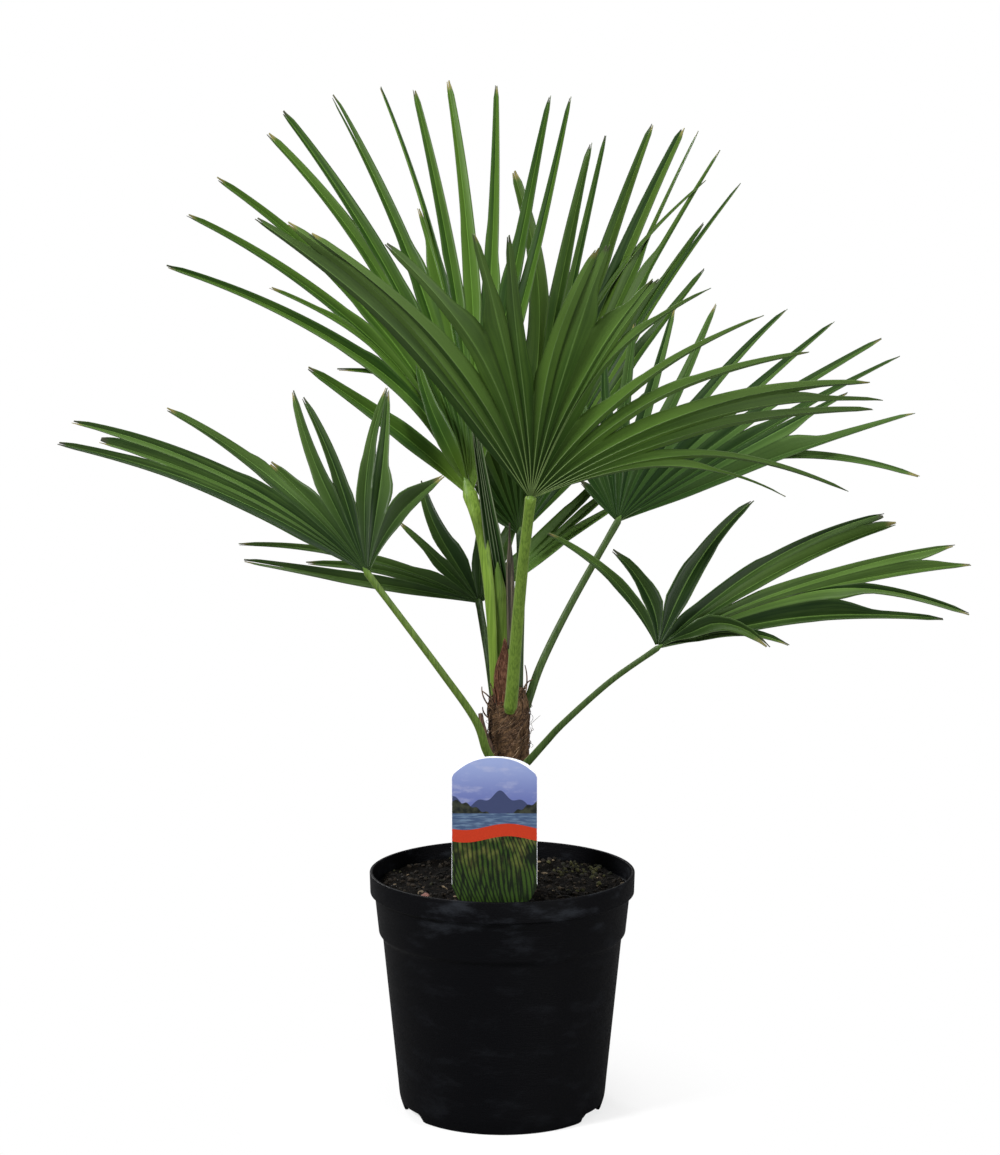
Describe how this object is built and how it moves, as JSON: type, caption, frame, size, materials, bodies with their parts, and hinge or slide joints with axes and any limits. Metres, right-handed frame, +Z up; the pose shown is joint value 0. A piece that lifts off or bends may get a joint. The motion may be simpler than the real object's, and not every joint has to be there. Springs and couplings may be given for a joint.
{
  "type": "potted windmill palm",
  "caption": "Young fan palm in a black nursery pot: pleated fan leaves on arching stems from a fibrous trunk, with soil and an upright plant label.",
  "frame": {"origin": "middle of the pot's underside, on the surface it stands on", "axes": "+Z up; +X to the right and +Y away for someone who looks at the label"},
  "size_m": [0.6285, 0.3721, 0.7348],
  "materials": {
    "pot": "matte black with a faint mould grain",
    "soil": "damp peat with bark and moss",
    "trunk": "brown woven fibre",
    "sheath": "dry reddish fibre",
    "dry_leaf_base": "dry and dark",
    "label": "printed, satin",
    "petiole": "smooth green stem",
    "blade": "satin green leaf"
  },
  "bodies": {
    "root": {"pot": "pot", "soil": "soil", "trunk": "trunk", "crown_sheath": "sheath", "old_leaf_base": "dry_leaf_base", "plant_label": "label", "petiole_front": "petiole", "petiole_tall": "petiole", "petiole_rear": "petiole", "petiole_right": "petiole", "petiole_low_right": "petiole", "petiole_left": "petiole", "petiole_inner_left": "petiole", "petiole_spear": "petiole", "blade_front": "blade", "blade_tall": "blade", "blade_rear": "blade", "blade_right": "blade", "blade_low_right": "blade", "blade_left": "blade", "blade_inner_left": "blade", "blade_spear": "blade"}
  },
  "joints": []
}
